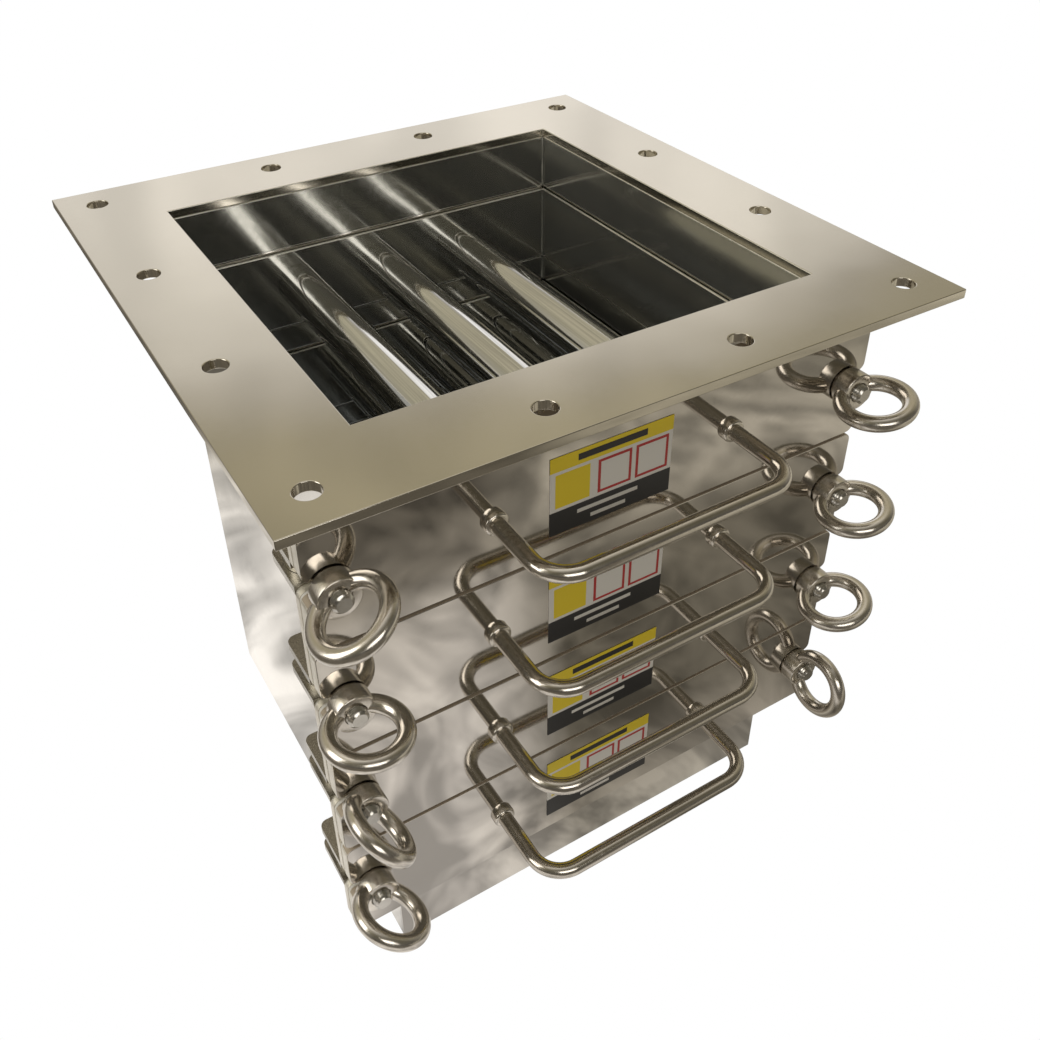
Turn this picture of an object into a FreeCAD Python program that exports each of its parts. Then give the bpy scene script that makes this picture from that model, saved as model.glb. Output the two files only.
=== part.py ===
# Magnetic separator housing with four pull-out magnet drawers.
# Millimetres. The origin is the centre of the top flange's upper face.
# +X is right along the front, +Y goes into the depth, +Z is up.

import os
import FreeCAD
import Part

V = FreeCAD.Vector

# Top flange
inletSize = 300.0
flangeBorder = 62.5
flangeThickness = 6.0
flangeHoleDiameter = 14.0
flangeHoleEdge = 25.0
flangeHolesPerSide = 4
flangeCornerRadius = 1.5

# Housing
skirtHeight = 54.5
linerThickness = 3.0
wallThickness = 3.0
frontFrameThickness = 5.0
frontFrameMargin = 0.5

# Drawer fronts
drawerCount = 4
plateBeyondStud = 14.4
plateHeight = 81.5
plateThickness = 8.0
plateCornerRadius = 5.0
plateGap = 2.5
firstPlateDrop = 36.5
gasketThickness = 1.9
gasketInset = 0.5
gasketClearance = 1.0
gasketSeatGap = 0.1

# Drawer frames and magnet tubes
drawerSheet = 2.0
drawerFrameHeight = 60.0
drawerFrameDrop = 2.75
frameSideClearance = 0.5
frameHeightClearance = 1.5
grooveHeight = 3.0
ledgeGap = 0.3
tubeDiameter = 32.0
tubeWall = 1.5
tubePitch = 66.0
tubeCountOdd = 3
tubeCountEven = 4
plugThickness = 5.0
magnetClearance = 0.2

# Pull handles
handleFootSpacing = 164.0
handleRodDiameter = 10.0
handleReach = 58.0
handleBendRadius = 20.0
handleCollarDiameter = 15.0
handleCollarHeight = 4.0

# Clamps
studFromWall = 20.6
studDiameter = 12.0
slotClearance = 1.0
slotMouthRadius = 5.0
pivotSetback = 17.0
pivotPinDiameter = 12.0
pivotClearance = 0.05
lugBeyondPin = 18.0
lugCornerRadius = 5.0
lugThickness = 5.0
lugGap = 0.3
boltEyeDiameter = 24.0
boltEyeThickness = 12.0
studShow = 5.0
pinHeadDiameter = 17.0
pinHeadHeight = 2.5

# Eye nuts
nutBossDiameter = 25.0
nutBossHeight = 12.0
nutBossTaper = 2.5
nutRingCentre = 26.0
nutRingOuter = 52.0
nutRingWire = 10.5
nutBoreClearance = 0.05
nutSeatGap = 0.05
nutTurns = {
    "left": [28.0, -4.0, -52.0, -31.0],
    "right": [8.0, 8.0, 10.0, 84.0],
}

# Derived positions
inletHalf = inletSize / 2
linerOuter = inletHalf + linerThickness
wallOuter = linerOuter + wallThickness
frameBackY = -linerOuter
frameFrontY = frameBackY - frontFrameThickness
plateBackY = frameFrontY - gasketSeatGap - gasketThickness
plateFrontY = plateBackY - plateThickness
drawerOuter = inletHalf + drawerSheet
studX = wallOuter + studFromWall
plateHalf = studX + plateBeyondStud
drawerPitch = plateHeight + plateGap
frontFrameDrop = firstPlateDrop + drawerCount * drawerPitch - plateGap + frontFrameMargin
housingHeight = frontFrameDrop + skirtHeight
pivotY = frameBackY + pivotSetback
tubeRadius = tubeDiameter / 2
slotRadius = studDiameter / 2 + slotClearance
nutSeatY = plateFrontY - nutSeatGap
ringY = nutSeatY - nutRingCentre
ringRadius = (nutRingOuter - nutRingWire) / 2
nutBossTopY = nutSeatY - nutBossHeight
studTipY = nutBossTopY - studShow
frameTopZ = -firstPlateDrop + frontFrameMargin
frameBottomZ = -frontFrameDrop
drawerNumbers = range(1, drawerCount + 1)


def plateTop(number):
    return -firstPlateDrop - drawerPitch * (number - 1)


def plateCentre(number):
    return plateTop(number) - plateHeight / 2


def drawerTop(number):
    return plateCentre(number) - drawerFrameDrop + drawerFrameHeight / 2


def drawerBottom(number):
    return drawerTop(number) - drawerFrameHeight


def box(x0, x1, y0, y1, z0, z1):
    corner = V(min(x0, x1), min(y0, y1), min(z0, z1))
    return Part.makeBox(abs(x1 - x0), abs(y1 - y0), abs(z1 - z0), corner)


def roundZ(radius, x, y, z0, z1):
    return Part.makeCylinder(radius, abs(z1 - z0), V(x, y, min(z0, z1)), V(0, 0, 1))


def roundY(radius, x, z, y0, y1):
    return Part.makeCylinder(radius, abs(y1 - y0), V(x, min(y0, y1), z), V(0, 1, 0))


def joined(first, others):
    return first.fuse(others).removeSplitter()


def edgesAlong(shape, direction, test):
    found = []
    for edge in shape.Edges:
        start = edge.Vertexes[0].Point
        end = edge.Vertexes[-1].Point
        run = end - start
        if run.Length < 0.01 or not hasattr(edge.Curve, "Direction"):
            continue
        if abs(abs(run.normalize().dot(direction)) - 1) < 1e-6 and test(start):
            found.append(edge)
    return found


# Four plain strips that line the shaft between two heights
def linerStrips(inner, outer, top, bottom):
    return [
        box(-outer, -inner, -outer, outer, bottom, top),
        box(inner, outer, -outer, outer, bottom, top),
        box(-inner, inner, -outer, -inner, bottom, top),
        box(-inner, inner, inner, outer, bottom, top),
    ]


# An open-ended slot seen from the front, closed by a half circle at the stud
def studSlot(side, centreZ, y0, y1):
    channel = box(side * studX, side * (plateHalf + slotRadius), y0 - 1, y1 + 1,
                  centreZ - slotRadius, centreZ + slotRadius)
    return channel.fuse(roundY(slotRadius, side * studX, centreZ, y0 - 1, y1 + 1))


def roundOuterCorners(shape, radius, half=plateHalf):
    edges = edgesAlong(shape, V(0, 1, 0), lambda p: abs(abs(p.x) - half) < 0.01)
    return shape.makeFillet(radius, edges)


os.makedirs("parts", exist_ok=True)


def save(name, solids):
    if not isinstance(solids, list):
        solids = [solids]
    loose = []
    for shape in solids:
        loose.extend(shape.Solids)
    result = loose[0] if len(loose) == 1 else Part.makeCompound(loose)
    result.exportStep("parts/" + name + ".step")


# Top flange with its square inlet and the bolt holes along its border
flangeHalf = inletHalf + flangeBorder
holeSpan = 2 * (flangeHalf - flangeHoleEdge)
flangeHolePitch = holeSpan / (flangeHolesPerSide - 1)
flange = box(-flangeHalf, flangeHalf, -flangeHalf, flangeHalf, -flangeThickness, 0)
corners = edgesAlong(flange, V(0, 0, 1), lambda p: True)
flange = flange.makeFillet(flangeCornerRadius, corners)
flange = flange.cut(box(-inletHalf, inletHalf, -inletHalf, inletHalf, -flangeThickness - 1, 1))
holeRows = [(step - (flangeHolesPerSide - 1) / 2) * flangeHolePitch
            for step in range(flangeHolesPerSide)]
outerRow = holeRows[-1]
for x in holeRows:
    for y in holeRows:
        if abs(x) == outerRow or abs(y) == outerRow:
            flange = flange.cut(roundZ(flangeHoleDiameter / 2, x, y, -flangeThickness - 1, 1))
save("top_flange", flange)

# Welded shell of the housing
shellTop = -flangeThickness
save("side_wall_left", box(-wallOuter, -linerOuter, frameBackY, wallOuter, -housingHeight, shellTop))
save("side_wall_right", box(linerOuter, wallOuter, frameBackY, wallOuter, -housingHeight, shellTop))
save("back_wall", box(-linerOuter, linerOuter, linerOuter, wallOuter, -housingHeight, shellTop))
save("front_lintel", box(-wallOuter, wallOuter, -wallOuter, -linerOuter, frameTopZ, shellTop))
save("front_skirt", box(-wallOuter, wallOuter, -wallOuter, -linerOuter, -housingHeight, frameBottomZ))

# Liner strips above, between and below the drawers
save("top_collar", linerStrips(inletHalf, linerOuter, shellTop, drawerTop(1) + grooveHeight))
ledges = []
for number in range(1, drawerCount):
    ledges += linerStrips(inletHalf, linerOuter, drawerBottom(number) - ledgeGap,
                          drawerTop(number + 1) + grooveHeight)
save("ledge_bands", ledges)
save("bottom_collar", linerStrips(inletHalf, linerOuter, drawerBottom(drawerCount) - ledgeGap,
                                  -housingHeight))

# Front frame with four drawer mouths and eight open slots for the studs
frontFrame = box(-plateHalf, plateHalf, frameFrontY, frameBackY, frameBottomZ, frameTopZ)
mouthHalf = drawerOuter + frameSideClearance
for number in drawerNumbers:
    frontFrame = frontFrame.cut(box(-mouthHalf, mouthHalf, frameFrontY - 1, frameBackY + 1,
                                    drawerBottom(number) - frameHeightClearance,
                                    drawerTop(number) + frameHeightClearance))
    for side in (-1, 1):
        frontFrame = frontFrame.cut(studSlot(side, plateCentre(number), frameFrontY, frameBackY))
save("front_frame", roundOuterCorners(frontFrame, slotMouthRadius))

# Clamps: two lugs, one pivot pin and one swing bolt at each end of each front
eyeHalf = boltEyeThickness / 2
lugNear = eyeHalf + lugGap
lugFar = lugNear + lugThickness
lugBackY = pivotY + lugBeyondPin
pinHole = pivotPinDiameter / 2 + pivotClearance
for side, sideName in ((-1, "left"), (1, "right")):
    lugs = []
    pins = []
    bolts = []
    for number in drawerNumbers:
        centre = plateCentre(number)
        for low, high in ((lugNear, lugFar), (-lugFar, -lugNear)):
            lug = box(side * wallOuter, side * plateHalf, frameBackY, lugBackY,
                      centre + low, centre + high)
            corner = edgesAlong(lug, V(0, 0, 1), lambda p: abs(p.x - side * plateHalf) < 0.01
                                and abs(p.y - lugBackY) < 0.01)
            lug = lug.makeFillet(lugCornerRadius, corner)
            lug = lug.cut(roundZ(pinHole, side * studX, pivotY, centre + low - 1, centre + high + 1))
            lugs.append(lug)
        pin = roundZ(pivotPinDiameter / 2, side * studX, pivotY, centre - lugFar, centre + lugFar)
        heads = [
            roundZ(pinHeadDiameter / 2, side * studX, pivotY, centre + lugFar,
                   centre + lugFar + pinHeadHeight),
            roundZ(pinHeadDiameter / 2, side * studX, pivotY, centre - lugFar - pinHeadHeight,
                   centre - lugFar),
        ]
        pins.append(joined(pin, heads))
        eye = roundZ(boltEyeDiameter / 2, side * studX, pivotY, centre - eyeHalf, centre + eyeHalf)
        shank = roundY(studDiameter / 2, side * studX, centre, studTipY, pivotY)
        bolt = joined(eye, [shank])
        bolts.append(bolt.cut(roundZ(pinHole, side * studX, pivotY, centre - eyeHalf - 1,
                                     centre + eyeHalf + 1)))
    save("clamp_lugs_" + sideName, lugs)
    save("pivot_pins_" + sideName, pins)
    save("swing_bolts_" + sideName, bolts)


# A ring nut on the stud, turned about the stud by its own angle
def eyeNut(side, number):
    x = side * studX
    z = plateCentre(number)
    taperY = nutBossTopY + nutBossTaper
    base = roundY(nutBossDiameter / 2, x, z, taperY, nutSeatY)
    neck = Part.makeCone(nutBossDiameter / 2, nutBossDiameter / 2 - nutBossTaper, nutBossTaper,
                         V(x, taperY, z), V(0, -1, 0))
    ring = Part.makeTorus(ringRadius, nutRingWire / 2, V(x, ringY, z), V(0, 0, 1))
    nut = joined(base, [neck, ring])
    nut = nut.cut(roundY(studDiameter / 2 + nutBoreClearance, x, z, ringY, nutSeatY + 1))
    name = "left" if side < 0 else "right"
    return nut.rotate(V(x, ringY, z), V(0, 1, 0), -nutTurns[name][number - 1])


for side, sideName in ((-1, "left"), (1, "right")):
    for number in drawerNumbers:
        save("eye_nut_%s_%d" % (sideName, number), eyeNut(side, number))


# Round pull handle: two legs, two quarter bends and a grip bar
def pullHandle(centreZ):
    rod = handleRodDiameter / 2
    barY = plateFrontY - handleReach
    legs = []
    for side in (-1, 1):
        x = side * handleFootSpacing / 2
        legs.append(roundY(rod, x, centreZ, barY + handleBendRadius, plateFrontY))
        bend = Part.makeTorus(handleBendRadius, rod, V(0, 0, 0), V(0, 0, 1), 0, 360, 90)
        if side > 0:
            bend.rotate(V(0, 0, 0), V(0, 0, 1), -90)
        else:
            bend.rotate(V(0, 0, 0), V(0, 0, 1), 180)
        bend.translate(V(x - side * handleBendRadius, barY + handleBendRadius, centreZ))
        legs.append(bend)
    reach = handleFootSpacing / 2 - handleBendRadius
    bar = Part.makeCylinder(rod, 2 * reach, V(-reach, barY, centreZ), V(1, 0, 0))
    return bar.fuse(legs)


# The drawers
plugLength = plugThickness
magnetRadius = tubeRadius - tubeWall - magnetClearance
for number in drawerNumbers:
    centre = plateCentre(number)
    plate = box(-plateHalf, plateHalf, plateFrontY, plateBackY, plateTop(number) - plateHeight,
                plateTop(number))
    for side in (-1, 1):
        plate = plate.cut(studSlot(side, centre, plateFrontY, plateBackY))
    save("front_plate_%d" % number, roundOuterCorners(plate, plateCornerRadius))

    innerX = mouthHalf + gasketClearance
    innerTop = drawerTop(number) + frameHeightClearance + gasketClearance
    innerBottom = drawerBottom(number) - frameHeightClearance - gasketClearance
    gasketFaceY = plateBackY + gasketThickness
    gasketHalf = plateHalf - gasketInset
    gasket = box(-gasketHalf, gasketHalf, plateBackY, gasketFaceY,
                 plateTop(number) - plateHeight + gasketInset, plateTop(number) - gasketInset)
    gasket = gasket.cut(box(-innerX, innerX, plateBackY - 1, gasketFaceY + 1, innerBottom, innerTop))
    for side in (-1, 1):
        gasket = gasket.cut(studSlot(side, centre, plateBackY, gasketFaceY))
    save("gasket_%d" % number, roundOuterCorners(gasket, plateCornerRadius, gasketHalf))

    save("handle_%d" % number, pullHandle(centre))
    collars = []
    for side in (-1, 1):
        x = side * handleFootSpacing / 2
        collar = roundY(handleCollarDiameter / 2, x, centre, plateFrontY - handleCollarHeight, plateFrontY)
        collars.append(collar.cut(roundY(handleRodDiameter / 2, x, centre,
                                         plateFrontY - handleCollarHeight - 1, plateFrontY + 1)))
    save("handle_collars_%d" % number, collars)

    top = drawerTop(number)
    bottom = drawerBottom(number)
    save("drawer_frame_%d" % number, [
        box(-drawerOuter, -inletHalf, plateBackY, drawerOuter, bottom, top),
        box(inletHalf, drawerOuter, plateBackY, drawerOuter, bottom, top),
        box(-inletHalf, inletHalf, -drawerOuter, -inletHalf, bottom, top),
        box(-inletHalf, inletHalf, inletHalf, drawerOuter, bottom, top),
    ])

    count = tubeCountOdd if number % 2 else tubeCountEven
    tubes = []
    plugs = []
    magnets = []
    for index in range(count):
        x = (index - (count - 1) / 2) * tubePitch
        tube = roundY(tubeRadius, x, centre, -inletHalf, inletHalf)
        tubes.append(tube.cut(roundY(tubeRadius - tubeWall, x, centre, -inletHalf - 1, inletHalf + 1)))
        for end in (-1, 1):
            plugs.append(roundY(tubeRadius - tubeWall, x, centre, end * inletHalf,
                                end * (inletHalf - plugLength)))
        magnets.append(roundY(magnetRadius, x, centre, -inletHalf + plugLength, inletHalf - plugLength))
    save("magnet_tubes_%d" % number, tubes)
    save("tube_plugs_%d" % number, plugs)
    save("magnet_stacks_%d" % number, magnets)
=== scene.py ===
import math
import bpy
from mathutils import Matrix, Vector


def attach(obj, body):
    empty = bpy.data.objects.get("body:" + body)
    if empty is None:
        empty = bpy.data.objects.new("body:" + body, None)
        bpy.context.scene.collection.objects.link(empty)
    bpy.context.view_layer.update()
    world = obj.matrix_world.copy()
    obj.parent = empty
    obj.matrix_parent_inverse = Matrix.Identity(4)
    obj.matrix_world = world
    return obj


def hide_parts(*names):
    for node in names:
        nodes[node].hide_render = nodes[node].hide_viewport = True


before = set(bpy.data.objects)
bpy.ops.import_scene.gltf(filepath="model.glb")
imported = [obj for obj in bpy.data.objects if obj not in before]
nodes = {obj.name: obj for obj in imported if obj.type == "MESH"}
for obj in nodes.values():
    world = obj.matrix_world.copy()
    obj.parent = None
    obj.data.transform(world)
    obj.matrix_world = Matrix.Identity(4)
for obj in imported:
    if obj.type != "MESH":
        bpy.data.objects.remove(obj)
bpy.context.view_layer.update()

cameraValues = {
    "place": (-0.3040, -0.5647, 0.2976),
    "azimuth": -31.13,
    "elevation": 34.43,
    "roll": -0.52,
    "lens": 37.87,
    "shiftX": -0.0016,
    "shiftY": -0.0928,
    "sensor": 36,
    "near": 0.01,
}

steelValues = {
    "flange": {"colour": (0.66, 0.62, 0.54), "rough": 0.13, "wave": 0.0005, "waveScale": 9, "cloud": 0.02,
               "grain": 0.05},
    "shell": {"colour": (0.74, 0.72, 0.68), "rough": 0.13, "wave": 0.0012, "waveScale": 8, "cloud": 0.05},
    # Liner steel for the shaft's inside is darker than the shell: painted shade in the shaft
    "shaded_liner": {"colour": (0.43, 0.43, 0.40), "rough": 0.11, "wave": 0.0014, "waveScale": 8, "cloud": 0.05,
              "metal": 0.86},
    "front": {"colour": (0.60, 0.57, 0.53), "rough": 0.06, "wave": 0.0003, "waveScale": 8, "cloud": 0.04},
    # Edge: a lighter, rougher copy of the front steel for rims and the front frame, a painted highlight along
    # the edges
    "edge": {"colour": (0.88, 0.85, 0.77), "rough": 0.45, "wave": 0.0001, "waveScale": 30, "cloud": 0.06},
    # Seam: a dull brown copy of the front steel for the faces between plates, painted shade in the gaps
    "seam_shade": {"colour": (0.50, 0.43, 0.34), "rough": 0.60, "wave": 0.0, "waveScale": 30, "cloud": 0.05,
             "metal": 0.2},
    # Near-white steel for rounded edges: painted highlights where the edges catch the light
    "painted_highlight": {"colour": (0.95, 0.93, 0.86), "rough": 0.40, "wave": 0.0, "waveScale": 30, "cloud": 0.03},
    "lug": {"colour": (0.40, 0.38, 0.33), "rough": 0.25, "wave": 0.0, "waveScale": 30, "cloud": 0.08},
    "rod": {"colour": (0.66, 0.62, 0.56), "rough": 0.18, "wave": 0.0, "waveScale": 20, "cloud": 0.04},
    "cast": {"colour": (0.70, 0.66, 0.60), "rough": 0.22, "wave": 0.00012, "waveScale": 70, "cloud": 0.08},
    "stud": {"colour": (0.58, 0.56, 0.52), "rough": 0.22, "wave": 0.0, "waveScale": 60, "cloud": 0.05},
    "tube": {"colour": (0.74, 0.74, 0.73), "rough": 0.08, "wave": 0.00005, "waveScale": 12, "cloud": 0.03},
}

# Noise that all the steels share: soft clouds in the tint, fine grain in the roughness
steelNoise = {
    "cloud": {"Scale": 14.0, "Detail": 4.0, "Roughness": 0.6},
    "cloudEdges": (0.3, 0.7),
    "cloudLift": 0.5,
    "grain": {"Scale": 220.0, "Detail": 3.0, "Roughness": 0.6},
    "grainEdges": (0.35, 0.65),
    "usualGrain": 0.2,
    "waveDetail": 1.5,
}

plainValues = {
    "rubber": {"colour": (0.80, 0.79, 0.75), "rough": 0.6},
    "magnet": {"colour": (0.05, 0.05, 0.055), "rough": 0.5},
    "labelYellow": {"colour": (0.78, 0.60, 0.02), "rough": 0.35},
    "labelDark": {"colour": (0.018, 0.018, 0.02), "rough": 0.3},
    "labelPale": {"colour": (0.72, 0.70, 0.66), "rough": 0.35},
    "labelRed": {"colour": (0.45, 0.03, 0.03), "rough": 0.35},
}

nutValues = {
    "bossDiameter": 0.025,
    "bossHeight": 0.012,
    "bossRound": 0.0008,
    "bossNeck": 0.0016,
    "neckHeight": 0.0009,
    "neckRound": 0.0002,
    "roundShare": 0.3,
    "boreRound": 0.0008,
    "drillPast": 0.01,
    "ringCentre": 0.026,
    "ringOuter": 0.052,
    "ringWire": 0.0105,
    "bore": 0.0121,
    "seatY": -0.16805,
    "studX": 0.1766,
    "turns": {
        "left": [28.0, -4.0, -52.0, -31.0],
        "right": [8.0, 8.0, 10.0, 84.0],
    },
}

boltValues = {
    "diameter": 0.012,
    "tipY": -0.18505,
    "tipEdge": 0.0009,
    "shankY": -0.150,
    "threadY": -0.168,
    "threadRest": 0.0006,
    "neckY": -0.1505,
    "threadPitch": 0.00175,
    "threadDepth": 0.0007,
    "pivotY": -0.136,
    "eyeDiameter": 0.024,
    "eyeThickness": 0.012,
    "pinHole": 0.0121,
    "drillPast": 0.02,
}

plateValues = {
    "half": 0.191,
    "height": 0.0815,
    "firstCentre": -0.07725,
    "pitch": 0.084,
    "frontY": -0.168,
    "backY": -0.160,
    "slotRadius": 0.007,
    "slotEndX": 0.22,
    "cutterY": (-0.2, -0.1),
    "corner": 0.005,
    "cornerSegments": 8,
    "bevel": 0.0007,
    "faceTilt": 0.8,
    "seamTilt": 0.5,
}

handleValues = {
    "spacing": 0.164,
    "diameter": 0.010,
    "reach": 0.058,
    "bend": 0.020,
    "collarDiameter": 0.015,
    "collarHeight": 0.004,
    "collarRound": 0.0012,
    "collarFacet": 0.0004,
    "bendSteps": 12,
}

labelValues = {
    "centreX": -0.005,
    "width": 0.084,
    "height": 0.054,
    "band": 0.010,
    "footer": 0.0165,
    "thickness": 0.0003,
    "layerStep": 0.00006,
    "topBar": (0.22, 0.78, 0.28, 0.72),
    "footerBars": ((0.22, 0.72, 0.60, 0.76), (0.33, 0.62, 0.22, 0.38)),
    "squarePlace": 0.18,
    "framePlaces": (0.52, 0.83),
    "squareShare": 0.42,
    "frameShare": 0.84,
}

linerValues = {
    "inner": 0.150,
    "outer": 0.153,
    "frameOuter": 0.152,
    "frameHeight": 0.060,
    "frameDrop": 0.00275,
    "groove": 0.003,
    "rest": 0.0003,
    "floor": -0.425,
    "bevel": 0.0009,
    "weld": 0.0016,
    "weldEnd": 0.0005,
    "paintedHighlightTilt": 0.25,
}

flangeValues = {
    "size": 0.425,
    "thickness": 0.006,
    "inlet": 0.300,
    "hole": 0.014,
    "pitch": 0.125,
    "holeSteps": (-1.5, -0.5, 0.5, 1.5),
    "drillPast": 0.02,
    "bevel": 0.0006,
    "paintedHighlightTilt": (0.15, 0.95),
}

studioValues = {
    "roomStops": [(0.0, (0.20, 0.18, 0.16)), (0.50, (0.34, 0.31, 0.27)), (0.62, (0.44, 0.41, 0.34)),
                  (0.78, (0.46, 0.42, 0.30)), (0.88, (0.48, 0.43, 0.31)), (1.0, (1.10, 1.05, 0.95))],
    "windowStops": [(0.0, (1.06, 1.03, 1.00)), (0.26, (1.00, 0.97, 0.93)), (0.34, (0.84, 0.81, 0.76)),
                    (0.44, (0.12, 0.11, 0.10)), (0.60, (0.0, 0.0, 0.0)), (1.0, (0.0, 0.0, 0.0))],
    "windowPlace": (0.231, 1.04, 0.48),
    "windowStretch": (0.55, 1.3, 1.6),
    "white": (1.0, 1.0, 1.0),
    "floorSize": 6.0,
    "floorZ": -0.4252,
    "leftStops": [(0.0, (0.42, 0.43, 0.44)), (0.145, (0.42, 0.43, 0.44)), (0.157, (0.92, 0.88, 0.83)),
                  (0.30, (0.84, 0.80, 0.75)), (0.44, (0.72, 0.68, 0.62)), (0.50, (0.34, 0.31, 0.26)),
                  (0.58, (0.15, 0.135, 0.11)), (1.0, (0.17, 0.15, 0.12))],
    "rightStops": [(0.0, (0.42, 0.43, 0.44)), (0.145, (0.42, 0.43, 0.44)), (0.157, (0.48, 0.45, 0.39)),
                   (0.21, (0.34, 0.31, 0.26)), (0.26, (0.16, 0.145, 0.115)), (0.42, (0.21, 0.19, 0.15)),
                   (0.53, (0.52, 0.48, 0.40)), (0.66, (0.38, 0.35, 0.28)), (1.0, (0.60, 0.56, 0.46))],
    "frontEdges": (-0.45, 0.15),
    "frontDim": 0.30,
    "sideSlope": 0.6,
    "slopeStart": -0.20,
    "sideEdges": (-0.22, -0.12),
    "floorNoise": {"Scale": 8.0, "Detail": 3.0, "Distortion": 2.2},
    "floorNoiseEdges": (0.38, 0.62),
    "floorNoiseRange": (0.55, 1.30),
    "roomNoise": {"Scale": 7.0, "Detail": 2.0, "Distortion": 1.6},
    "roomNoiseEdges": (0.40, 0.60),
    "roomNoiseRange": (0.80, 1.12),
}

lightValues = {
    "window_left": {"place": (-1.7, 0.1, 0.7), "target": (0, 0, -0.2), "size": (0.9, 1.3), "power": 10,
                    "colour": (1.0, 0.97, 0.92)},
    "front_low": {"place": (-0.3, -1.7, 0.6), "target": (0, 0, -0.25), "size": (1.2, 0.6), "power": 6,
                  "colour": (1.0, 0.96, 0.90)},
}

drawerNumbers = range(1, 5)
plateCentres = [plateValues["firstCentre"] - plateValues["pitch"] * (number - 1) for number in drawerNumbers]


def clearSelection():
    bpy.ops.object.select_all(action="DESELECT")


def makeActive(obj):
    clearSelection()
    obj.select_set(True)
    bpy.context.view_layer.objects.active = obj


def applyModifiers(obj):
    makeActive(obj)
    bpy.ops.object.convert(target="MESH")


def settle(obj):
    makeActive(obj)
    bpy.ops.object.transform_apply(location=True, rotation=True, scale=True)


def addBox(name, low, high):
    centre = [(a + b) / 2 for a, b in zip(low, high)]
    size = [b - a for a, b in zip(low, high)]
    clearSelection()
    bpy.ops.mesh.primitive_cube_add(size=1, location=centre)
    obj = bpy.context.object
    obj.name = name
    obj.scale = size
    settle(obj)
    return obj


def addRound(name, radius, start, end, sides=64):
    start = Vector(start)
    end = Vector(end)
    run = end - start
    clearSelection()
    bpy.ops.mesh.primitive_cylinder_add(vertices=sides, radius=radius, depth=run.length,
                                        location=(start + end) / 2)
    obj = bpy.context.object
    obj.name = name
    obj.rotation_euler = run.to_track_quat("Z", "Y").to_euler()
    settle(obj)
    return obj


def joinPieces(name, parts):
    clearSelection()
    for part in parts:
        part.select_set(True)
    bpy.context.view_layer.objects.active = parts[0]
    bpy.ops.object.join()
    parts[0].name = name
    return parts[0]


def cutAway(obj, cutter):
    modifier = obj.modifiers.new("cut", "BOOLEAN")
    modifier.operation = "DIFFERENCE"
    modifier.solver = "EXACT"
    modifier.object = cutter
    applyModifiers(obj)
    bpy.data.objects.remove(cutter)


def fuseWith(obj, other):
    modifier = obj.modifiers.new("fuse", "BOOLEAN")
    modifier.operation = "UNION"
    modifier.solver = "EXACT"
    modifier.object = other
    applyModifiers(obj)
    bpy.data.objects.remove(other)


def bevelEdges(obj, width, segments=3, angle=35):
    modifier = obj.modifiers.new("bevel", "BEVEL")
    modifier.width = width
    modifier.segments = segments
    modifier.limit_method = "ANGLE"
    modifier.angle_limit = math.radians(angle)
    modifier.harden_normals = False
    applyModifiers(obj)


def evenNormals(obj):
    modifier = obj.modifiers.new("normals", "WEIGHTED_NORMAL")
    modifier.mode = "FACE_AREA"
    modifier.weight = 50
    modifier.keep_sharp = True
    applyModifiers(obj)


def smoothByAngle(obj, angle=32):
    makeActive(obj)
    bpy.ops.object.shade_smooth_by_angle(angle=math.radians(angle))


# A shape turned about the axis +Y from pairs of radius and depth
def addTurned(name, profile, x, z, sides=72):
    verts = []
    faces = []
    count = len(profile)
    for step in range(sides):
        angle = 2 * math.pi * step / sides
        for radius, y in profile:
            verts.append((x + radius * math.cos(angle), y, z + radius * math.sin(angle)))
    for step in range(sides):
        following = (step + 1) % sides
        for index in range(count):
            nextIndex = (index + 1) % count
            faces.append((step * count + index, following * count + index,
                          following * count + nextIndex, step * count + nextIndex))
    mesh = bpy.data.meshes.new(name)
    mesh.from_pydata(verts, [], faces)
    mesh.validate()
    obj = bpy.data.objects.new(name, mesh)
    bpy.context.scene.collection.objects.link(obj)
    makeActive(obj)
    bpy.ops.object.mode_set(mode="EDIT")
    bpy.ops.mesh.select_all(action="SELECT")
    bpy.ops.mesh.normals_make_consistent(inside=False)
    bpy.ops.object.mode_set(mode="OBJECT")
    return obj


def addNode(tree, kind, **inputs):
    node = tree.nodes.new(kind)
    for key, value in inputs.items():
        node.inputs[key].default_value = value
    return node


# A node that maps one stretch of a source's values onto another
def addRange(tree, source, edges, results=(0.0, 1.0)):
    node = tree.nodes.new("ShaderNodeMapRange")
    for key, value in zip(("From Min", "From Max", "To Min", "To Max"), (*edges, *results)):
        node.inputs[key].default_value = value
    tree.links.new(source, node.inputs["Value"])
    return node.outputs["Result"]


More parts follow.
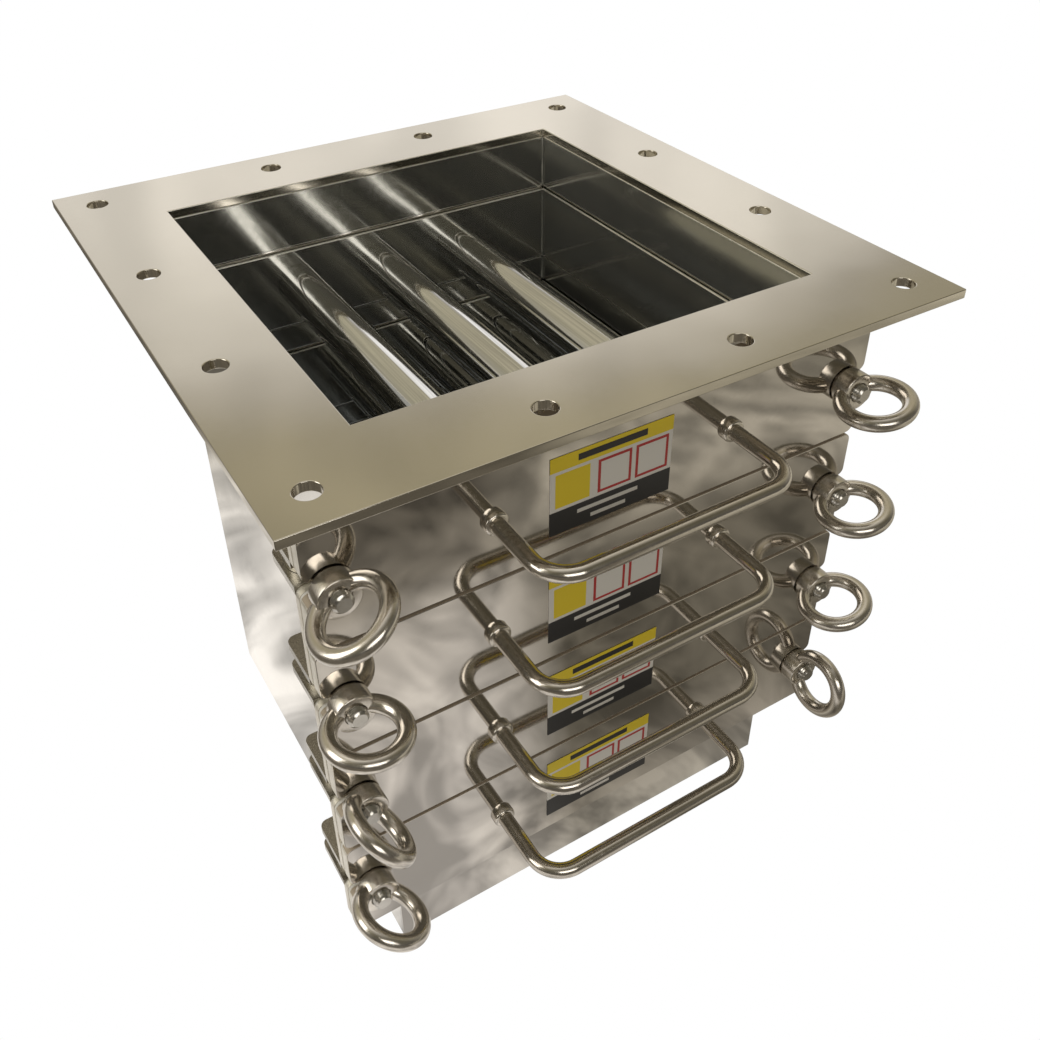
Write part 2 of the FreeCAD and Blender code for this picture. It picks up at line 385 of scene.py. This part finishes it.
def makeSteel(name, values):
    material = bpy.data.materials.new(name)
    material.use_nodes = True
    tree = material.node_tree
    shader = tree.nodes["Principled BSDF"]
    shader.inputs["Metallic"].default_value = values.get("metal", 1.0)
    coords = tree.nodes.new("ShaderNodeTexCoord")
    cloud = addNode(tree, "ShaderNodeTexNoise", **steelNoise["cloud"])
    tree.links.new(coords.outputs["Object"], cloud.inputs["Vector"])
    brightness = addRange(tree, cloud.outputs["Fac"], steelNoise["cloudEdges"],
                          (1.0 - values["cloud"], 1.0 + values["cloud"] * steelNoise["cloudLift"]))
    tint = tree.nodes.new("ShaderNodeVectorMath")
    tint.operation = "SCALE"
    tint.inputs[0].default_value = values["colour"]
    tree.links.new(brightness, tint.inputs["Scale"])
    tree.links.new(tint.outputs["Vector"], shader.inputs["Base Color"])
    fine = addNode(tree, "ShaderNodeTexNoise", **steelNoise["grain"])
    tree.links.new(coords.outputs["Object"], fine.inputs["Vector"])
    grain = values.get("grain", steelNoise["usualGrain"])
    roughness = addRange(tree, fine.outputs["Fac"], steelNoise["grainEdges"],
                         (values["rough"] * (1.0 - grain), values["rough"] * (1.0 + grain)))
    tree.links.new(roughness, shader.inputs["Roughness"])
    if values["wave"] > 0:
        wave = addNode(tree, "ShaderNodeTexNoise", Scale=float(values["waveScale"]),
                       Detail=steelNoise["waveDetail"])
        tree.links.new(coords.outputs["Object"], wave.inputs["Vector"])
        bump = addNode(tree, "ShaderNodeBump", Strength=1.0, Distance=values["wave"])
        tree.links.new(wave.outputs["Fac"], bump.inputs["Height"])
        tree.links.new(bump.outputs["Normal"], shader.inputs["Normal"])
    return material


def makePlain(name, values):
    material = bpy.data.materials.new(name)
    material.use_nodes = True
    shader = material.node_tree.nodes["Principled BSDF"]
    shader.inputs["Base Color"].default_value = (*values["colour"], 1.0)
    shader.inputs["Roughness"].default_value = values["rough"]
    return material


steels = {name: makeSteel("steel_" + name, values) for name, values in steelValues.items()}
plains = {name: makePlain(name, values) for name, values in plainValues.items()}


def dress(obj, material):
    obj.data.materials.clear()
    obj.data.materials.append(material)


nodeLooks = {
    "side_wall_left": "shell", "side_wall_right": "shell", "back_wall": "shell",
    # The front frame takes the lighter edge steel, a painted highlight
    "front_lintel": "front", "front_skirt": "front", "front_frame": "edge",
    "clamp_lugs_left": "lug", "clamp_lugs_right": "lug",
    "pivot_pins_left": "cast", "pivot_pins_right": "cast",
}
for nodeName, look in nodeLooks.items():
    dress(nodes[nodeName], steels[look])
for number in drawerNumbers:
    dress(nodes["magnet_tubes_%d" % number], steels["tube"])
    dress(nodes["tube_plugs_%d" % number], steels["tube"])
    dress(nodes["magnet_stacks_%d" % number], plains["magnet"])
    dress(nodes["gasket_%d" % number], plains["rubber"])
print("stage: materials on the frame")


def finishPiece(obj, material, body, replaced):
    dress(obj, material)
    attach(obj, body)
    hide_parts(*replaced)


# Flange with rounded edges, a square inlet and four bolt holes along each side
def makeFlange():
    values = flangeValues
    half = values["size"] / 2
    inletHalf = values["inlet"] / 2
    past = values["drillPast"]
    flange = addBox("flange_look", (-half, -half, -values["thickness"]), (half, half, 0))
    cutters = [addBox("cutter", (-inletHalf, -inletHalf, -past), (inletHalf, inletHalf, past))]
    outerStep = max(values["holeSteps"])
    for stepX in values["holeSteps"]:
        for stepY in values["holeSteps"]:
            if abs(stepX) == outerStep or abs(stepY) == outerStep:
                x = stepX * values["pitch"]
                y = stepY * values["pitch"]
                cutters.append(addRound("cutter", values["hole"] / 2, (x, y, -past), (x, y, past), sides=48))
    cutAway(flange, joinPieces("cutter", cutters))
    bevelEdges(flange, values["bevel"])
    smoothByAngle(flange)
    evenNormals(flange)
    return flange


# The rounded upper edge of the inlet is brighter than the flange: a painted highlight along the rim
def dressInletEdge(flange, painted_highlight):
    flange.data.materials.append(painted_highlight)
    low, high = flangeValues["paintedHighlightTilt"]
    reach = flangeValues["inlet"] / 2 + flangeValues["bevel"]
    for face in flange.data.polygons:
        if low < face.normal.z < high and max(abs(face.center.x), abs(face.center.y)) < reach:
            face.material_index = 1


flange = makeFlange()
finishPiece(flange, steels["flange"], "housing", ["top_flange"])
dressInletEdge(flange, steels["painted_highlight"])
print("stage: flange")


# Drawer front with open-ended slots
def makePlate(number):
    centre = plateCentres[number - 1]
    values = plateValues
    top = centre + values["height"] / 2
    plate = addBox("front_look_%d" % number, (-values["half"], values["frontY"], top - values["height"]),
                   (values["half"], values["backY"], top))
    parts = []
    radius = values["slotRadius"]
    y0, y1 = values["cutterY"]
    for side in (-1, 1):
        x = side * nutValues["studX"]
        far = side * values["slotEndX"]
        parts.append(addBox("cutter", (min(x, far), y0, centre - radius), (max(x, far), y1, centre + radius)))
        parts.append(addRound("cutter", radius, (x, y0, centre), (x, y1, centre)))
    for part in parts:
        cutAway(plate, part)
    markCornerWeights(plate)
    modifier = plate.modifiers.new("corners", "BEVEL")
    modifier.width = values["corner"]
    modifier.segments = values["cornerSegments"]
    modifier.limit_method = "WEIGHT"
    applyModifiers(plate)
    clearWeights(plate)
    bevelEdges(plate, values["bevel"], segments=2)
    smoothByAngle(plate)
    evenNormals(plate)
    return plate


# Edges along Y at the plate's two ends, which are its corners and the mouths of the slots
def markCornerWeights(obj):
    weights = obj.data.attributes.new("bevel_weight_edge", "FLOAT", "EDGE")
    for edge in obj.data.edges:
        a, b = [obj.data.vertices[index].co for index in edge.vertices]
        along = abs(a.y - b.y) > 0.001 and abs(a.x - b.x) < 1e-6
        if along and abs(abs(a.x) - plateValues["half"]) < 1e-5:
            weights.data[edge.index].value = 1.0


def clearWeights(obj):
    weights = obj.data.attributes.get("bevel_weight_edge")
    if weights:
        obj.data.attributes.remove(weights)


# The rim of a plate is duller than its face, and dullest along the seams between plates; the ends get a
# lighter steel, a painted highlight, and the seams a dull brown steel, painted shade in the gaps
def dressRim(obj, endHighlight, seamShade):
    obj.data.materials.append(endHighlight)
    obj.data.materials.append(seamShade)
    for face in obj.data.polygons:
        if abs(face.normal.y) < plateValues["faceTilt"]:
            face.material_index = 2 if abs(face.normal.z) > plateValues["seamTilt"] else 1


# A round rod that runs out of the plate, across and back in, with a bend at each end
def makeHandle(number):
    centre = plateCentres[number - 1]
    values = handleValues
    half = values["spacing"] / 2
    barY = plateValues["frontY"] - values["reach"]
    bend = values["bend"]
    points = [(-half, plateValues["frontY"], centre)]
    steps = values["bendSteps"]
    for step in range(steps + 1):
        angle = math.pi / 2 * step / steps
        points.append((-half + bend - bend * math.cos(angle), barY + bend - bend * math.sin(angle), centre))
    for step in range(steps + 1):
        angle = math.pi / 2 * step / steps
        points.append((half - bend + bend * math.sin(angle), barY + bend - bend * math.cos(angle), centre))
    points.append((half, plateValues["frontY"], centre))
    curve = bpy.data.curves.new("handle", "CURVE")
    curve.dimensions = "3D"
    spline = curve.splines.new("POLY")
    spline.points.add(len(points) - 1)
    for target, point in zip(spline.points, points):
        target.co = (*point, 1.0)
    curve.bevel_depth = values["diameter"] / 2
    curve.bevel_resolution = 10
    curve.use_fill_caps = True
    handle = bpy.data.objects.new("handle_look_%d" % number, curve)
    bpy.context.scene.collection.objects.link(handle)
    applyModifiers(handle)
    smoothByAngle(handle, angle=40)
    return handle


def makeCollars(number):
    centre = plateCentres[number - 1]
    inner = handleValues["diameter"] / 2
    outer = handleValues["collarDiameter"] / 2
    frontY = plateValues["frontY"]
    tip = frontY - handleValues["collarHeight"]
    edge = handleValues["collarRound"]
    facet = handleValues["collarFacet"]
    profile = [(inner, frontY), (outer, frontY), (outer, tip + edge), (outer - facet, tip + facet),
               (outer - edge, tip), (inner, tip)]
    collars = []
    for side in (-1, 1):
        collars.append(addTurned("collar", profile, side * handleValues["spacing"] / 2, centre, sides=48))
    collar = joinPieces("collars_look_%d" % number, collars)
    smoothByAngle(collar, angle=40)
    return collar


for number in drawerNumbers:
    body = "drawer_%d" % number
    plate = makePlate(number)
    finishPiece(plate, steels["front"], body, ["front_plate_%d" % number])
    dressRim(plate, steels["edge"], steels["seam_shade"])
    finishPiece(makeHandle(number), steels["rod"], body, ["handle_%d" % number])
    finishPiece(makeCollars(number), steels["rod"], body, ["handle_collars_%d" % number])
print("stage: drawer fronts and handles")


# Sheet strips that line the shaft, with soft edges and a weld in each inner corner
def makeStrips(name, inner, outer, frontY, top, bottom):
    strips = [
        addBox("strip", (-outer, frontY, bottom), (-inner, outer, top)),
        addBox("strip", (inner, frontY, bottom), (outer, outer, top)),
        addBox("strip", (-inner, -outer, bottom), (inner, -inner, top)),
        addBox("strip", (-inner, inner, bottom), (inner, outer, top)),
    ]
    for strip in strips:
        bevelEdges(strip, linerValues["bevel"])
        smoothByAngle(strip)
        evenNormals(strip)
    end = linerValues["weldEnd"]
    for x in (-inner, inner):
        for y in (-inner, inner):
            weld = addRound("weld", linerValues["weld"], (x, y, bottom + end), (x, y, top - end), sides=24)
            smoothByAngle(weld, angle=40)
            strips.append(weld)
    return joinPieces(name, strips)


# The strips' rounded top and bottom edges are brighter than their mirror faces: painted highlights along the
# edges
def dressStripEdges(obj, painted_highlight):
    obj.data.materials.append(painted_highlight)
    for face in obj.data.polygons:
        if abs(face.normal.z) > linerValues["paintedHighlightTilt"]:
            face.material_index = 1


frameHeight = linerValues["frameHeight"]
frameTops = [centre - linerValues["frameDrop"] + frameHeight / 2 for centre in plateCentres]
frameFloors = [top - frameHeight - linerValues["rest"] for top in frameTops]
inner = linerValues["inner"]
outer = linerValues["outer"]
groove = linerValues["groove"]
collar = makeStrips("collar_look", inner, outer, -outer, -flangeValues["thickness"], frameTops[0] + groove)
finishPiece(collar, steels["shaded_liner"], "housing", ["top_collar"])
dressStripEdges(collar, steels["painted_highlight"])
bands = [makeStrips("band", inner, outer, -outer, floor, nextTop + groove)
         for floor, nextTop in zip(frameFloors, frameTops[1:])]
finishPiece(joinPieces("bands_look", bands), steels["shaded_liner"], "housing", ["ledge_bands"])
lower = makeStrips("lower_collar_look", inner, outer, -outer, frameFloors[-1], linerValues["floor"])
finishPiece(lower, steels["shaded_liner"], "housing", ["bottom_collar"])
for number, top in zip(drawerNumbers, frameTops):
    drawerFrame = makeStrips("drawer_frame_look_%d" % number, inner, linerValues["frameOuter"],
                             plateValues["backY"], top, top - frameHeight)
    body = "drawer_%d" % number
    finishPiece(drawerFrame, steels["shaded_liner"], body, ["drawer_frame_%d" % number])
    dressStripEdges(drawerFrame, steels["painted_highlight"])
print("stage: liner strips and drawer frames")


# Ring nut: a turned base with a cast ring, turned about its stud
def makeNut(sideName, number):
    side = -1 if sideName == "left" else 1
    values = nutValues
    x = side * values["studX"]
    z = plateCentres[number - 1]
    seat = values["seatY"]
    boss = values["bossDiameter"] / 2
    ringY = seat - values["ringCentre"]
    ringRadius = (values["ringOuter"] - values["ringWire"]) / 2
    topY = seat - values["bossHeight"]
    edge = values["bossRound"]
    neck = boss - values["bossNeck"]
    neckTop = seat - values["neckHeight"]
    bore = values["bore"] / 2
    facet = edge * values["roundShare"]
    boreRound = values["boreRound"]
    profile = [(bore, seat), (neck, seat), (neck, neckTop), (boss, neckTop - values["neckRound"]),
               (boss, topY + edge), (boss - facet, topY + facet), (boss - edge, topY),
               (bore + boreRound, topY), (bore, topY + boreRound)]
    base = addTurned("boss", profile, 0, 0)
    clearSelection()
    bpy.ops.mesh.primitive_torus_add(major_radius=ringRadius, minor_radius=values["ringWire"] / 2,
                                     major_segments=96, minor_segments=32, location=(0, ringY, 0))
    ring = bpy.context.object
    settle(ring)
    hole = addRound("hole", bore, (0, seat + values["drillPast"], 0), (0, ringY, 0), sides=72)
    cutAway(ring, hole)
    nut = joinPieces("nut_look_%s_%d" % (sideName, number), [base, ring])
    angle = math.radians(-values["turns"][sideName][number - 1])
    nut.data.transform(Matrix.Translation((x, 0, z)) @ Matrix.Rotation(angle, 4, "Y"))
    smoothByAngle(nut, angle=45)
    return nut


# Swing bolts with a threaded end that shows inside the ring
def makeBolt(side, number):
    values = boltValues
    x = side * nutValues["studX"]
    z = plateCentres[number - 1]
    radius = values["diameter"] / 2
    root = radius - values["threadDepth"]
    y = values["threadY"]
    profile = [(0.0, values["shankY"]), (radius, values["shankY"]), (radius, y)]
    while y - values["threadPitch"] > values["tipY"] + values["threadRest"]:
        profile += [(root, y - values["threadPitch"] / 2), (radius, y - values["threadPitch"])]
        y -= values["threadPitch"]
    tipEdge = values["tipEdge"]
    profile += [(root, values["tipY"] + tipEdge), (root - tipEdge, values["tipY"]), (0.0, values["tipY"])]
    shank = addTurned("shank", profile, x, z, sides=48)
    pivotY = values["pivotY"]
    half = values["eyeThickness"] / 2
    past = values["drillPast"]
    eye = addRound("eye", values["eyeDiameter"] / 2, (x, pivotY, z - half), (x, pivotY, z + half), sides=72)
    neck = addRound("neck", radius, (x, values["neckY"], z), (x, pivotY, z), sides=48)
    fuseWith(eye, neck)
    hole = addRound("hole", values["pinHole"] / 2, (x, pivotY, z - past), (x, pivotY, z + past))
    cutAway(eye, hole)
    return [shank, eye]


for side, sideName in ((-1, "left"), (1, "right")):
    parts = []
    for number in drawerNumbers:
        nut = makeNut(sideName, number)
        nutBody = "nut_%s_%d" % (sideName, number)
        finishPiece(nut, steels["cast"], nutBody, ["eye_nut_%s_%d" % (sideName, number)])
        parts += makeBolt(side, number)
    bolts = joinPieces("bolts_look_" + sideName, parts)
    smoothByAngle(bolts, angle=40)
    finishPiece(bolts, steels["stud"], "housing", ["swing_bolts_" + sideName])
print("stage: clamps")


# Plain printed cards on the drawer fronts, in thin layers
def addCard(name, x0, x1, z0, z1, layer):
    frontY = plateValues["frontY"]
    depth = labelValues["thickness"]
    lift = layer * labelValues["layerStep"]
    return addBox(name, (x0, frontY - depth - lift, z0), (x1, frontY - lift, z1))


# Bars and squares are placed by shares of the card's width and of their own band's height
def makeLabel(number):
    values = labelValues
    width = values["width"]
    height = values["height"]
    band = values["band"]
    footer = values["footer"]
    left = values["centreX"] - width / 2
    bottom = plateCentres[number - 1] - height / 2
    parts = []

    def card(x0, x1, z0, z1, layer, look):
        obj = addCard("card", left + x0, left + x1, bottom + z0, bottom + z1, layer)
        dress(obj, plains[look])
        parts.append(obj)

    card(0, width, 0, height, 0, "labelPale")
    card(0, width, height - band, height, 1, "labelYellow")
    card(0, width, 0, footer, 1, "labelDark")
    x0, x1, z0, z1 = values["topBar"]
    card(width * x0, width * x1, height - band * z1, height - band * z0, 2, "labelDark")
    for x0, x1, z0, z1 in values["footerBars"]:
        card(width * x0, width * x1, footer * z0, footer * z1, 2, "labelPale")
    middle = (footer + (height - band)) / 2
    reach = (height - band - footer) * values["squareShare"]
    x = width * values["squarePlace"]
    card(x - reach, x + reach, middle - reach, middle + reach, 1, "labelYellow")
    for place in values["framePlaces"]:
        x = width * place
        card(x - reach, x + reach, middle - reach, middle + reach, 1, "labelRed")
        inner = reach * values["frameShare"]
        card(x - inner, x + inner, middle - inner, middle + inner, 2, "labelPale")
    return joinPieces("label_%d" % number, parts)


for number in drawerNumbers:
    label = makeLabel(number)
    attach(label, "drawer_%d" % number)
print("stage: cards")


def fillRamp(ramp, stops):
    elements = ramp.color_ramp.elements
    for element, (position, colour) in zip(elements, (stops[0], stops[-1])):
        element.position = position
        element.color = (*colour, 1.0)
    for position, colour in stops[1:-1]:
        element = elements.new(position)
        element.color = (*colour, 1.0)


# The camera sees plain white where reflections see the shades
def whiteToCamera(tree, shades, white, output):
    path = tree.nodes.new("ShaderNodeLightPath")
    mix = tree.nodes.new("ShaderNodeMixShader")
    tree.links.new(path.outputs["Is Camera Ray"], mix.inputs["Fac"])
    tree.links.new(shades, mix.inputs[1])
    tree.links.new(white, mix.inputs[2])
    tree.links.new(mix.outputs["Shader"], output.inputs["Surface"])


# Painted light and shade on the glowing floor, by the distance from the object's middle, with a painted
# shadow under the object, other shades on the left side than on the right, and the border between them
# slanting forward of the object
def addFloorPaintedLight(tree, coords):
    values = studioValues
    split = tree.nodes.new("ShaderNodeSeparateXYZ")
    tree.links.new(coords.outputs["Object"], split.inputs["Vector"])
    reach = tree.nodes.new("ShaderNodeMath")
    reach.operation = "MAXIMUM"
    for index, axis in enumerate("XY"):
        distance = tree.nodes.new("ShaderNodeMath")
        distance.operation = "ABSOLUTE"
        tree.links.new(split.outputs[axis], distance.inputs[0])
        tree.links.new(distance.outputs[0], reach.inputs[index])
    shades = tree.nodes.new("ShaderNodeMix")
    shades.data_type = "RGBA"
    for socket, stops in ((6, "leftStops"), (7, "rightStops")):
        ramp = tree.nodes.new("ShaderNodeValToRGB")
        fillRamp(ramp, values[stops])
        tree.links.new(reach.outputs[0], ramp.inputs["Fac"])
        tree.links.new(ramp.outputs["Color"], shades.inputs[socket])
    front = tree.nodes.new("ShaderNodeMath")
    front.operation = "MINIMUM"
    front.inputs[1].default_value = values["slopeStart"]
    tree.links.new(split.outputs["Y"], front.inputs[0])
    slope = tree.nodes.new("ShaderNodeMath")
    slope.operation = "MULTIPLY_ADD"
    slope.inputs[1].default_value = values["sideSlope"]
    tree.links.new(front.outputs["Value"], slope.inputs[0])
    tree.links.new(split.outputs["X"], slope.inputs[2])
    tree.links.new(addRange(tree, slope.outputs["Value"], values["sideEdges"]), shades.inputs["Factor"])
    return shades.outputs[2]


# Floor: plain white to the camera; to reflections it glows with painted light and shade
def makeFloor():
    values = studioValues
    clearSelection()
    bpy.ops.mesh.primitive_plane_add(size=values["floorSize"], location=(0, 0, values["floorZ"]))
    floor = bpy.context.object
    floor.name = "floor"
    material = bpy.data.materials.new("floor")
    material.use_nodes = True
    tree = material.node_tree
    coords = tree.nodes.new("ShaderNodeTexCoord")
    seen = tree.nodes.new("ShaderNodeEmission")
    tree.links.new(addFloorPaintedLight(tree, coords), seen.inputs["Color"])
    # Painted patches of light and shade in the floor's glow
    noise = addNode(tree, "ShaderNodeTexNoise", **values["floorNoise"])
    tree.links.new(coords.outputs["Object"], noise.inputs["Vector"])
    clouds = addRange(tree, noise.outputs["Fac"], values["floorNoiseEdges"], values["floorNoiseRange"])
    tree.links.new(clouds, seen.inputs["Strength"])
    white = addNode(tree, "ShaderNodeEmission", Color=(*values["white"], 1.0), Strength=1.0)
    whiteToCamera(tree, seen.outputs["Emission"], white.outputs["Emission"], tree.nodes["Material Output"])
    dress(floor, material)


# Room: warm shades by height, dimmer in front of the object, and a bright window behind it on the right
def addRoomShades(tree, coords):
    values = studioValues
    split = tree.nodes.new("ShaderNodeSeparateXYZ")
    tree.links.new(coords.outputs["Generated"], split.inputs["Vector"])
    ramp = tree.nodes.new("ShaderNodeValToRGB")
    fillRamp(ramp, values["roomStops"])
    tree.links.new(addRange(tree, split.outputs["Z"], (-1.0, 1.0)), ramp.inputs["Fac"])
    dimmed = tree.nodes.new("ShaderNodeVectorMath")
    dimmed.operation = "SCALE"
    tree.links.new(ramp.outputs["Color"], dimmed.inputs[0])
    behind = addRange(tree, split.outputs["Y"], values["frontEdges"], (values["frontDim"], 1.0))
    tree.links.new(behind, dimmed.inputs["Scale"])
    stretch = tree.nodes.new("ShaderNodeVectorMath")
    stretch.operation = "MULTIPLY"
    stretch.inputs[1].default_value = values["windowStretch"]
    tree.links.new(coords.outputs["Generated"], stretch.inputs[0])
    offset = tree.nodes.new("ShaderNodeVectorMath")
    offset.operation = "DISTANCE"
    offset.inputs[1].default_value = values["windowPlace"]
    tree.links.new(stretch.outputs["Vector"], offset.inputs[0])
    window = tree.nodes.new("ShaderNodeValToRGB")
    fillRamp(window, values["windowStops"])
    tree.links.new(offset.outputs["Value"], window.inputs["Fac"])
    lighter = tree.nodes.new("ShaderNodeMix")
    lighter.data_type = "RGBA"
    lighter.blend_type = "LIGHTEN"
    lighter.inputs["Factor"].default_value = 1.0
    tree.links.new(dimmed.outputs["Vector"], lighter.inputs[6])
    tree.links.new(window.outputs["Color"], lighter.inputs[7])
    return lighter.outputs[2]


def makeRoom():
    values = studioValues
    world = bpy.data.worlds.new("room")
    bpy.context.scene.world = world
    world.use_nodes = True
    tree = world.node_tree
    for node in list(tree.nodes):
        tree.nodes.remove(node)
    coords = tree.nodes.new("ShaderNodeTexCoord")
    room = tree.nodes.new("ShaderNodeBackground")
    tree.links.new(addRoomShades(tree, coords), room.inputs["Color"])
    noise = addNode(tree, "ShaderNodeTexNoise", **values["roomNoise"])
    tree.links.new(coords.outputs["Generated"], noise.inputs["Vector"])
    patches = addRange(tree, noise.outputs["Fac"], values["roomNoiseEdges"], values["roomNoiseRange"])
    tree.links.new(patches, room.inputs["Strength"])
    white = addNode(tree, "ShaderNodeBackground", Color=(*values["white"], 1.0), Strength=1.0)
    output = tree.nodes.new("ShaderNodeOutputWorld")
    whiteToCamera(tree, room.outputs["Background"], white.outputs["Background"], output)


def addSoftLight(name, values):
    clearSelection()
    bpy.ops.object.light_add(type="AREA", location=values["place"])
    light = bpy.context.object
    light.name = name
    light.data.shape = "RECTANGLE"
    light.data.size, light.data.size_y = values["size"]
    light.data.energy = values["power"]
    light.data.color = values["colour"]
    aim = Vector(values["target"]) - Vector(values["place"])
    light.rotation_euler = aim.to_track_quat("-Z", "Y").to_euler()


makeFloor()
makeRoom()
for lightName in lightValues:
    addSoftLight(lightName, lightValues[lightName])
print("stage: studio")


def placeCamera():
    values = cameraValues
    azimuth = math.radians(values["azimuth"])
    elevation = math.radians(values["elevation"])
    back = Vector((math.sin(azimuth) * math.cos(elevation), -math.cos(azimuth) * math.cos(elevation),
                   math.sin(elevation)))
    clearSelection()
    bpy.ops.object.camera_add(location=values["place"])
    camera = bpy.context.object
    turn = back.to_track_quat("Z", "Y").to_matrix() @ Matrix.Rotation(math.radians(values["roll"]), 3, "Z")
    camera.rotation_euler = turn.to_euler()
    camera.data.lens = values["lens"]
    camera.data.sensor_width = values["sensor"]
    camera.data.shift_x = values["shiftX"]
    camera.data.shift_y = values["shiftY"]
    camera.data.clip_start = values["near"]
    bpy.context.scene.camera = camera


placeCamera()
bpy.context.scene.view_settings.view_transform = "Standard"
